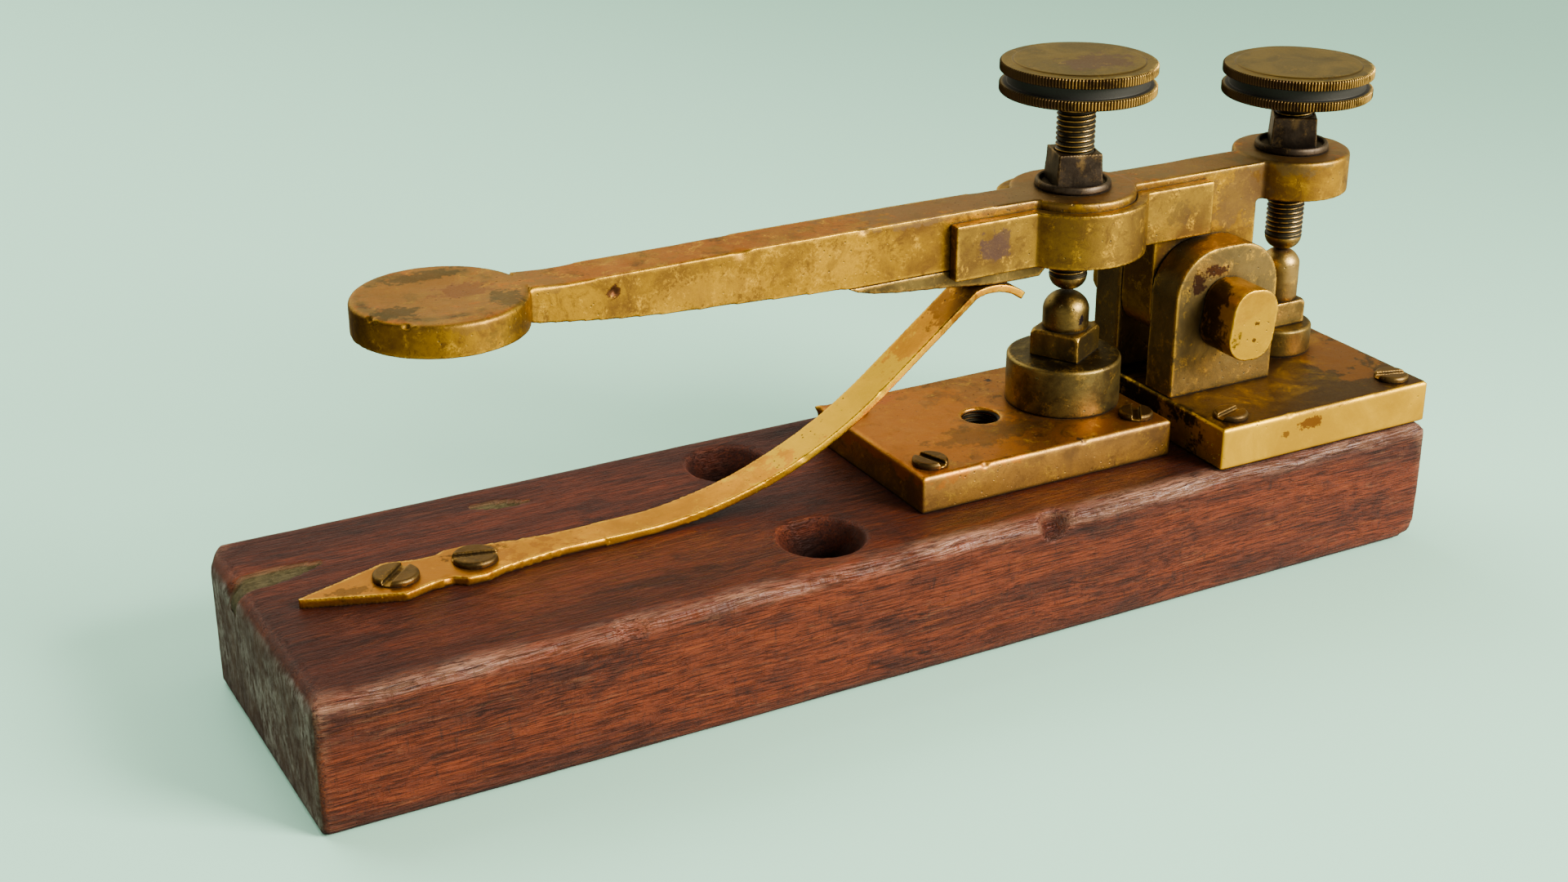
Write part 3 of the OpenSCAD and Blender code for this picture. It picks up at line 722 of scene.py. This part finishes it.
# ---------------------------------------------------------------- plates, ears and other fixed brass

def make_plates(materials):
    for node, seed in (("front_plate", 2), ("rear_plate", 3)):
        obj = worn_copy([node], 0.3, 1)
        roughen(obj, seed, (12, 0.03), (1.6, 0.02))
        low, high = box_mm(node)
        p = points_of(obj)
        if node == "front_plate":
            push(p, (low[0], high[1], high[2]), 1.4, (-0.5, 0.4, 0.2))
            push(p, (13.2, low[1], high[2]), 0.9, (0, 0.3, -0.3))
            push(p, (30.4, low[1], high[2]), 0.7, (0, 0.2, -0.25))
        else:
            push(p, (62.0, low[1], high[2]), 0.9, (0, 0.15, -0.2))
        set_points(obj, p)
        dress(obj, node, materials[node])


def make_tapped_thread(material):
    """The thread that shows inside the spare hole."""
    low, high = box_mm("front_plate")
    centre = MOUNTS["spare_tapped_hole"]["pos_m"][0] / MM
    outer, depth = 2.95, 0.4
    vertices, _, faces = threaded_wall(
        centre, low[2] + 0.3, high[2] - 0.35, segments=64, per_turn=8,
        radius_at=lambda ridge, z: outer - depth * ridge)
    mesh = bpy.data.meshes.new("tapped_thread")
    mesh.from_pydata(vertices, [], [face[:1] + face[:0:-1] for face in faces])
    obj = link("tapped_thread", mesh)
    obj.data.materials.append(material)
    shade_smooth(obj)
    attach(obj, BODY_OF["front_plate"])


def make_worn_nodes(materials):
    """Plain prismatic pieces: a denser copy with worn edges and slight unevenness."""
    plan = (
        ("near_bearing_ear", 0.25, 2), ("far_bearing_ear", 0.3, 2),
        ("near_trunnion_screw", 0.2, 2), ("far_trunnion_screw", 0.22, 2),
        ("near_side_strap", 0.2, 1), ("far_side_strap", 0.22, 1),
        ("spring_rub_plate", 0.22, 1), ("front_contact_nut", 0.17, 1), ("rear_contact_nut", 0.17, 1),
        ("front_lock_nut", 0.15, 1), ("rear_lock_nut", 0.15, 1),
    )
    for seed, (node, voxel, rounds) in enumerate(plan):
        obj = worn_copy([node], voxel, rounds)
        roughen(obj, seed + 10, (5, 0.05), (1.4, 0.025))
        dress(obj, node, materials[node])


def make_screw_heads(materials):
    """Slotted heads: only what stands above the surface that the screws go into, and a little below it."""
    plan = (("front_plate_screws", "front_plate"), ("rear_plate_screws", "rear_plate"),
            ("spring_screws", "wooden_base"))
    for seed, (node, plate) in enumerate(plan, 31):
        surface = box_mm(plate)[1][2]
        obj = worn_copy([node], 0.13, 1, keep_above=surface - 0.5)
        roughen(obj, seed, (3, 0.03), (0.9, 0.02))
        dress(obj, node, materials[node])


# ---------------------------------------------------------------- lever

def make_lever(material):
    """The arm and the finger disc as one worn skin: no seam shows between them."""
    obj = worn_copy(["lever_arm", "finger_disc"], 0.28, 3)
    roughen(obj, 40, (16, 0.07), (5, 0.035), (1.3, 0.015))
    low, high = box_mm("finger_disc")
    x, r = (low[0] + high[0]) / 2, (high[0] - low[0]) / 2
    p, normals = points_of(obj), normals_of(obj)
    push(p, (-39, -3.65, 56.9), 0.8, (0, 0.35, 0))
    push(p, (-20, -3.65, 59.4), 1.6, (0, 0.25, -0.2))
    push(p, (-1, -3.65, 59.5), 1.2, (0, 0.2, -0.2))

    # The arm's top runs up into the disc's, and the disc is a little hollowed by the finger
    upward = smooth_step(normals[:, 2], 0.4, 0.9)
    p[:, 2] += 0.35 * smooth_step(p[:, 0], -45, -51) * (p[:, 0] > x + r - 0.4) * upward
    hollow = np.clip(1 - np.hypot(p[:, 0] - x, p[:, 1]) / (r - 1.5), 0, 1)
    p[:, 2] -= 0.25 * smooth_step(hollow, 0, 0.6) * upward * (p[:, 2] > high[2] - 1)

    # Nicks in the disc's rim, each with the metal it pushed aside
    for angle, size in ((200, 0.8), (229, 0.85)):
        for turn, depth, rise in ((0, 0.5, -0.5), (6, -0.1, 0.15)):
            a = math.radians(angle + turn)
            spot = (x + r * math.cos(a), r * math.sin(a), high[2])
            push(p, spot, size, (-depth * math.cos(a), -depth * math.sin(a), rise))
    far_end = box_mm("lever_arm")[1][0]
    p[:, 2] = np.minimum(p[:, 2], high[2])
    p[:, 0] = np.clip(p[:, 0], low[0], far_end)
    p[:, 1] = np.clip(p[:, 1], low[1], high[1])
    set_points(obj, p)
    dress(obj, "lever_arm", material, "finger_disc")


def make_spring(material):
    """The leaf spring, bent between the base and the lever."""
    obj = worn_copy(["leaf_spring"], 0.2, 1)
    roughen(obj, 60, (9, 0.04), (1.8, 0.02))
    p = points_of(obj)
    for x, side in ((-69.8, -1), (-64.2, -1), (-44, -1), (-30, -1), (-10, -1), (3, -1), (-52, 1), (-20, 1)):
        z = np.interp(x, (-36.9, -10, 3), (20.8, 26.6, 34))
        push(p, (x, side * 3.4, z), 1.1, (0, -0.14 * side, -0.1))
    set_points(obj, p)
    obj.data.materials.clear()
    obj.data.materials.append(material)
    shade_smooth(obj)
    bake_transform(obj)
    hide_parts("leaf_spring")


# ---------------------------------------------------------------- turned pieces

def make_seats_and_posts(materials):
    for end in ("front", "rear"):
        node = end + "_contact_seat"
        x, r, foot, top = round_box(node)
        outline = [(0, foot), (r, foot), (r, top - 0.35), (r - 0.4, top), (0, top)]
        profile = divided(rounded(outline, 0.45, 5), 0.5)
        seat = turned(node + "_worn", profile, x, 200)
        roughen(seat, 70, (7, 0.06), (1.8, 0.025))
        dress(seat, node, materials[node])

        node = end + "_contact_post"
        low, high = box_mm(node)
        r = (high[1] - low[1]) / 2
        foot = box_mm(end + "_contact_nut")[1][2]
        dome = r * 0.85
        curve = [(r * math.cos(t), high[2] - dome + dome * math.sin(t))
                 for t in np.linspace(0, math.pi / 2, 14)]
        profile = divided([(0, foot - 1.5), (r - 0.6, foot - 1.5), (r - 0.15, foot + 0.02), (r, foot + 0.5)]
                          + curve[:-1] + [(0, high[2])], 0.4)
        post = turned(node + "_worn", profile, x, 120)
        roughen(post, 75, (5, 0.04), (1.4, 0.015))
        dress(post, node, materials[node])


def make_washers(materials):
    for end in ("front", "rear"):
        node = end + "_cup_washer"
        x, r, z, top = round_box(node)
        hole_r = 3.1
        ring = [(hole_r, z), (r - 0.25, z), (r, z + 0.25), (r - 0.1, top - 0.35), (r - 0.35, top),
                (r - 0.75, top - 0.1), (r - 1.0, z + 0.55), (hole_r, z + 0.5), (hole_r, z)]
        profile = divided(rounded(ring, 0.18, 3), 0.5)[:-1]
        washer = turned(node + "_worn", profile, x, 160, closed=True)
        roughen(washer, 80, (5, 0.05), (1.2, 0.025))
        dress(washer, node, materials[node])


def make_knobs(materials):
    teeth, per_tooth = 148, 6
    for end in ("front", "rear"):
        node = end + "_knob"
        x, r, z, top = round_box(node)
        rim, groove_r, face_r = 1.45, r - 1.15, r - 1.95
        upper = top - 0.2 - rim
        corners = [(2.0, z), (r - 0.3, z), (r, z + 0.25), (r, z + rim - 0.1), (r - 0.15, z + rim),
                   (groove_r, z + rim + 0.05), (groove_r, upper - 0.05),
                   (r - 0.15, upper), (r, upper + 0.1), (r, top - 0.4), (r - 0.25, top - 0.2),
                   (face_r + 0.2, top - 0.22), (face_r, top - 0.04), (face_r - 0.25, top), (0, top - 0.03)]
        profile = divided(rounded(corners, 0.12, 3), 0.55)
        knob = turned(node + "_knurled", [(0, z)] + profile, x, teeth * per_tooth)
        p = points_of(knob)
        away = np.hypot(p[:, 0] - x, p[:, 1])
        angle = np.arctan2(p[:, 1], p[:, 0] - x)
        tooth = 0.5 - 0.5 * np.cos(angle * teeth)
        band = smooth_step(away, r - 0.28, r - 0.08)
        cut = band * (1 - tooth) ** 1.3 * 0.3
        p[:, :2] -= np.column_stack([np.cos(angle), np.sin(angle)]) * cut[:, None]
        p[:, 2] += 0.04 * random_field(p, 6, 85) * (p[:, 2] > z + 2)
        p[:, 2] = np.minimum(p[:, 2], top)
        set_points(knob, p)
        set_attribute(knob, "crest", band * tooth ** 2)
        inner = smooth_step(away, r - 0.15, r - 0.5) * (p[:, 2] > z + rim - 0.1) * (p[:, 2] < upper + 0.1)
        set_attribute(knob, "groove", inner)
        dress(knob, node, materials[node])


def make_rods(material):
    """Adjusting screws: a helical thread that fades out at its foot, closed at both ends."""
    depth, segments = 0.3, 60
    for end in ("front", "rear"):
        node = end + "_screw_rod"
        x, r, z0, z1 = round_box(node)

        def fade(z):
            return min(1, (z - z0) / 0.6)

        vertices, ridges, faces = threaded_wall(
            x, z0, z1, segments, per_turn=10, radius_at=lambda ridge, z: r - depth * (1 - ridge) * fade(z))
        crest = [ridge ** 2 * fade(v[2] / MM) for ridge, v in zip(ridges, vertices)]
        last = len(vertices) - segments
        for z, first in ((z0, 0), (z1, last)):
            hub = len(vertices)
            vertices.append(Vector((x, 0, z)) * MM)
            crest.append(0)
            for i in range(segments):
                j = (i + 1) % segments
                faces.append((hub, first + j, first + i) if first == 0 else (hub, first + i, first + j))
        mesh = bpy.data.meshes.new(node + "_threaded")
        mesh.from_pydata(vertices, [], faces)
        obj = link(node + "_threaded", mesh)
        set_attribute(obj, "crest", crest)
        dress(obj, node, material)


def make_tips(materials):
    for end in ("front", "rear"):
        node = end + "_contact_tip"
        x, r, foot, _ = round_box(node)
        flat, height = 0.6, 2.2
        curve = [(flat + (r - flat) * math.sin(t), foot + height * (1 - math.cos(t)))
                 for t in np.linspace(0, math.pi / 2, 12)]
        profile = [(0, foot)] + curve + [(r - 0.35, foot + height + 0.04), (0, foot + height + 0.04)]
        tip = turned(node + "_round", divided(profile, 0.3), x, 96)
        roughen(tip, 90, (2, 0.02))
        dress(tip, node, materials[node])


# ---------------------------------------------------------------- the scene

def make_stage():
    bm = bmesh.new()
    bmesh.ops.create_grid(bm, x_segments=40, y_segments=40, size=3.0)
    mesh = bpy.data.meshes.new("floor")
    bm.to_mesh(mesh)
    bm.free()
    floor = link("floor", mesh)
    gap = 0.1
    floor.location.z = -gap * MM
    floor.visible_glossy = False
    paint = Paint("floor_paint")
    # Painted light: the floor is lighter towards the left and front and darker towards the right and back
    away = paint.math("ADD", paint.times(paint.x, 0.9), paint.times(paint.y, 0.35))
    colour = paint.blend(paint.step(away, -60, 430), rgb("BAF2D6"), rgb("88BAA2"))
    floor.data.materials.append(paint.finish(colour, 0.9, 0.0))


def make_light():
    def area(name, place, size, power, colour):
        data = bpy.data.lights.new(name, "AREA")
        data.size = size
        data.energy = power
        data.color = colour
        lamp = bpy.data.objects.new(name, data)
        lamp.location = place
        lamp.rotation_euler = (Vector(place) - Vector((0.01, 0, 0.03))).to_track_quat("Z", "Y").to_euler()
        bpy.context.scene.collection.objects.link(lamp)
        return lamp

    area("key", (0.46, -0.62, 0.42), 0.35, 18, (1.0, 0.97, 0.9))
    top = area("top", (-0.3, 0.9, 1.0), 1.0, 17, (0.94, 1.0, 0.98))
    top.visible_glossy = False

    world = bpy.data.worlds.new("studio")
    bpy.context.scene.world = world
    world.use_nodes = True
    tree = world.node_tree
    tree.nodes.clear()
    direction = tree.nodes.new("ShaderNodeTexCoord").outputs["Generated"]

    def lobe(aim, low, high, amount):
        """A soft panel about a direction, from 0 at cosine low to full at cosine high."""
        dot = tree.nodes.new("ShaderNodeVectorMath")
        dot.operation = "DOT_PRODUCT"
        dot.inputs[1].default_value = Vector(aim).normalized()
        tree.links.new(direction, dot.inputs[0])
        spread = tree.nodes.new("ShaderNodeMapRange")
        spread.interpolation_type = "SMOOTHSTEP"
        for name, number in (("From Min", low), ("From Max", high), ("To Max", amount)):
            spread.inputs[name].default_value = number
        tree.links.new(dot.outputs["Value"], spread.inputs["Value"])
        return spread.outputs["Result"]

    # Each panel is named by the faces that mirror it to the camera
    panels = [
        lobe((0.68, -0.64, -0.38), 0.35, 1.0, 1.75),  # near sides
        lobe((0.55, 0.75, 0.35), 0.2, 1.0, 0.7),  # flat tops
        lobe((0.5, -0.4, 0.75), 0.6, 0.95, 0.9),  # near top edges
        lobe((-0.8, -0.44, -0.4), 0.3, 1.0, 0.55),  # the left of round pieces
        lobe((-0.15, 0.78, 0.6), 0.7, 1.0, 1.22),  # the spring's slope
    ]
    everywhere, total = 0.035, None
    for panel in panels:
        add = tree.nodes.new("ShaderNodeMath")
        add.inputs[1].default_value = everywhere
        tree.links.new(panel, add.inputs[0])
        if total:
            tree.links.new(total, add.inputs[1])
        total = add.outputs[0]
    room = tree.nodes.new("ShaderNodeBackground")
    room.inputs["Color"].default_value = (1, 0.97, 0.82, 1)
    tree.links.new(total, room.inputs["Strength"])
    seen = tree.nodes.new("ShaderNodeBackground")
    seen.inputs["Color"].default_value = rgb("BBCDC2")
    mix = tree.nodes.new("ShaderNodeMixShader")
    ray = tree.nodes.new("ShaderNodeLightPath")
    tree.links.new(ray.outputs["Is Camera Ray"], mix.inputs[0])
    tree.links.new(room.outputs[0], mix.inputs[1])
    tree.links.new(seen.outputs[0], mix.inputs[2])
    tree.links.new(mix.outputs[0], tree.nodes.new("ShaderNodeOutputWorld").inputs[0])


def make_materials():
    """One material for each brass piece, with its own marks."""
    plate_tones = dict(BRASS, mid="E0AE08", dark="BE9010", tarnish="4E3422")
    strap_tones = dict(BRASS, mid="9A7828", dark="6C5026", tarnish="805E2C")
    spring_tones = dict(GOLD, mid="E29A12", dark="BC7E16")
    ear = dict(top=0.9, roughness=0.48, tones=dict(BRASS, mid="7E683A", dark="594C2F", tarnish="6A481E"))
    trunnion = dict(wear=0.9, roughness=0.36, mottle=0.4)
    lock_nut = dict(tones=BRONZE, wear=0.6, roughness=0.42, reach=0.5)
    cup_washer = dict(tones=BRONZE, wear=0.25, roughness=0.45, reach=0.4)
    plate_screw = dict(tones=DARK, wear=0.75, reach=0.4)
    tip = dict(tones=OLIVE, wear=0.3, roughness=0.36)
    plan = {
        "front_plate": dict(top=0.9, tones=dict(BRASS, mid="B4823A", dark="765632", tarnish="9A5C22"), marks=(
            ((8, 2, 25.3), (14, 18, 2), "C0701E", 0.6, 5.0),
            ((10.6, 12.5, 25.3), (4, 1.6, 1.5), "B5602A", 0.8, 1.2),
            ((20, -6, 25.3), (9, 3, 2), "4A3A1C", 0.5, 3.0),
            ((31.0, 11.2, 25.3), 0.5, "1E1A28", 0.9, 0.6),
            ((30.1, -14.4, 25.3), 0.55, "1E1A28", 0.9, 0.6))),
        "rear_plate": dict(top=1.0, wear=0.55, tones=plate_tones, mottle=0.35, marks=(
            ((71, 0, 26.4), (22, 28, 0.8), "4E3824", 0.6, 6.0),
            # Painted shade: the rear plate's left face and its left edges darkened
            ((48.3, 10, 22.5), (2.6, 26, 12), "120C08", 0.9, 6.0),
            ((66.2, -23.6, 24.0), (2.2, 1, 0.9), "6A3C18", 0.9, 0.9),
            ((61.5, -23.6, 23.0), (0.7, 1, 0.5), "6A3C18", 0.8, 0.6),
            ((80, 6, 26.2), (9, 5, 2), "3A3018", 0.7, 3.5),
            ((84, -6, 26.2), (6, 12, 2), "B06A24", 0.45, 3.0))),
        "near_bearing_ear": dict(ear, marks=(
            ((57.0, -10.1, 45.6), (2.2, 1.5, 0.8), "3A241A", 0.95, 0.9),
            ((53.8, -10.1, 43.9), (1.3, 1.5, 1.6), "3A241A", 0.95, 0.9))),
        "far_bearing_ear": ear,
        "near_trunnion_screw": dict(trunnion, tones=dict(GOLD, tarnish="6E4E1E"), marks=(
            # Painted shade: the left side of the trunnion screw's head darkened
            ((56.2, -12.4, 38.8), (2.4, 3.2, 6.5), "1E160C", 0.85, 4.0),
            ((59.6, -17.2, 39.0), (0.5, 1, 0.3), "4A2C18", 0.9, 0.5),
            ((59.3, -17.2, 36.4), (0.35, 1, 0.35), "4A2C18", 0.9, 0.5))),
        "far_trunnion_screw": dict(trunnion, tones=GOLD),
        "lever_arm": dict(top=0.85, wear=0.85, mottle=1.3, corner_soil_and_shade=1.2, ring=((-63, 0.6), 9, 1.3, 77), marks=(
            ((-39, -3.7, 56.9), 0.9, "4A2A1C", 0.9, 0.8),
            ((-25, -3.7, 54.6), (9, 1.5, 2.4), "F6BC22", 0.2, 0.6),
            ((-5, -3.7, 55.4), (5, 1.5, 2.6), "F6BC22", 0.2, 0.6),
            ((22, 0, 59.3), (22, 6, 1), "7A5E3C", 0.75, 4.0),
            ((58, 0, 59.1), (14, 6, 1), "7A6234", 0.7, 4.0),
            ((37, 0, 60.0), (14, 13, 2.4), "7A6038", 0.7, 4.0),
            ((78.4, 0, 60.0), (12, 12, 2.4), "74603A", 0.7, 4.0),
            ((-61.8, 0, 59.3), (12.5, 12.5, 1.2), "86642E", 0.6, 3.0),
            ((-58.5, 0.5, 59.3), (3.6, 2.6, 1), "7A4426", 0.7, 1.6),
            ((-69, -4, 59.3), (3, 2.2, 1), "3A3018", 0.8, 1.5),
            ((-61, 7.6, 59.3), (6, 1.6, 1), "463A20", 0.75, 1.2),
            ((-54.5, -5.5, 59.3), (1.8, 3.4, 1), "463A20", 0.75, 1.2),
            ((30.3, -9.0, 55.8), 1.0, "4A3A34", 0.6, 0.8),
            ((66, -3.7, 54), (7, 1.5, 4), "6E5434", 0.7, 2.5),
            ((-54, -9, 56), (5, 5, 3), "6A5424", 0.5, 1.5))),
        "near_side_strap": dict(top=0.8, mottle=1.4, corner_soil_and_shade=1.2, tones=strap_tones, marks=(
            ((20.3, -5.5, 54.0), (2.8, 2, 2.0), "54403C", 0.75, 1.8),
            ((53.4, -5.5, 53.8), (2.5, 2, 1.5), "5E4A30", 0.5, 1.8))),
        "far_side_strap": dict(top=0.8, mottle=1.2, tones=dict(BRASS, tarnish="805E2C")),
        "spring_rub_plate": dict(tones=OLIVE, wear=0.8),
        "leaf_spring": dict(top=0.15, roughness=0.36, tones=spring_tones, marks=(
            ((-2, 0, 31), (15, 8, 10), "E6BC10", 0.65, 3.0),
            ((-72, 0, 20.8), (20, 8, 3), "A4641C", 0.75, 3.0),
            # Brown on the spring's upper end under the lever: partly tarnish, partly painted shade
            ((16.5, 0, 43.4), (4, 7, 3), "6A3C16", 0.75, 1.6),
            ((-58, 2, 20.8), (4, 1.2, 1.5), "3A2410", 0.7, 1.0),
            ((-77, -1, 20.8), (3, 1.2, 1.5), "3A2410", 0.6, 0.9))),
        # The front seat's dark tarnish on its top is partly tarnish, partly painted shade
        "front_contact_seat": dict(top=0.95, tones=dict(OLIVE, mid="948046", tarnish="2C2214")),
        "rear_contact_seat": dict(top=0.9, tones=OLIVE),
        "front_contact_nut": dict(tones=dict(OLIVE, mid="8A7034")),
        "rear_contact_nut": dict(tones=OLIVE),
        "front_contact_post": dict(top=0.6, roughness=0.32, tones=OLIVE, marks=(
            ((37.3, -3.5, 39.0), (0.45, 1.5, 0.8), "1A1826", 0.95, 0.5),)),
        "rear_contact_post": dict(top=0.6, roughness=0.34, tones=dict(BRASS, mid="A88A4A", dark="6E5630")),
        "front_lock_nut": lock_nut,
        "rear_lock_nut": lock_nut,
        "front_cup_washer": cup_washer,
        "rear_cup_washer": cup_washer,
        "front_plate_screws": plate_screw,
        "rear_plate_screws": plate_screw,
        "spring_screws": dict(tones=DARK, wear=0.6, reach=0.4),
        "front_contact_tip": tip,
        "rear_contact_tip": tip,
        "ear_screws": dict(tones=BRONZE),
    }
    made = {node: brass(node + "_metal", seed, **look) for seed, (node, look) in enumerate(plan.items(), 1)}
    red_stain = ((39.0, -2.5, 78.1), (5.6, 3.6, 1), "5A3A2E", 0.85, 2.4)
    made["front_knob"] = knob_metal("front_knob_metal", 40, round_box("front_knob")[0], marks=(red_stain,))
    made["rear_knob"] = knob_metal("rear_knob_metal", 41, round_box("rear_knob")[0])
    return made


make_camera()
make_stage()
make_light()
MATERIALS = make_materials()
THREAD = thread_metal("thread_metal")
make_base(mahogany())
make_plates(MATERIALS)
make_tapped_thread(thread_metal("tapped_metal", 0.15))
make_worn_nodes(MATERIALS)
make_screw_heads(MATERIALS)
make_lever(MATERIALS["lever_arm"])
make_spring(MATERIALS["leaf_spring"])
make_seats_and_posts(MATERIALS)
make_washers(MATERIALS)
make_knobs(MATERIALS)
make_rods(THREAD)
make_tips(MATERIALS)

# The ear screws are hidden, so their CAD node stays as it is, in its own material
for kept_slot in frame["nodes"]["ear_screws"].material_slots:
    kept_slot.material = MATERIALS["ear_screws"]
